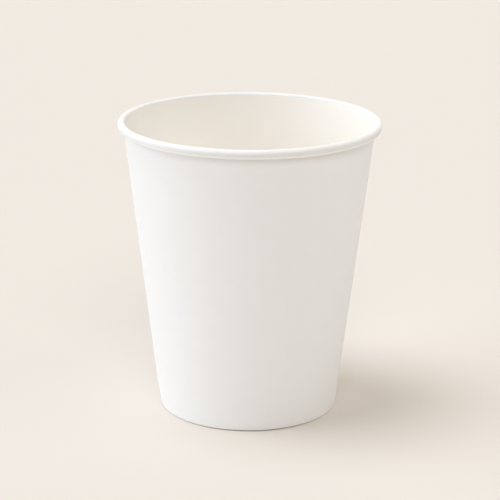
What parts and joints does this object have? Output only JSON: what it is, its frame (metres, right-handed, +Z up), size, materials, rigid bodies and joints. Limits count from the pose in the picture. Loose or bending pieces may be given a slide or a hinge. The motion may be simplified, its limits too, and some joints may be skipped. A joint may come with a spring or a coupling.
{
  "type": "paper coffee cup",
  "caption": "Plain white tapered paper cup for hot drinks, with a rolled rim, a lapped side seam and a recessed bottom disc held in a folded foot.",
  "frame": {"origin": "centre of the ring that the cup stands on, at the level of the table", "axes": "+Z up along the axis that the cup is round about, from the foot to the mouth; the picture was taken from the -Y side; the side seam lies between +X turned 169.5 and 183 degrees towards +Y"},
  "size_m": [0.08, 0.08, 0.0905],
  "materials": {
    "sidewall_board": "white paper board, smooth outside, thin clear film inside",
    "bottom_board": "white paper board with a thin clear film on its upper side"
  },
  "bodies": {
    "root": {"sidewall": "sidewall_board", "bottom_disc": "bottom_board"}
  },
  "joints": []
}
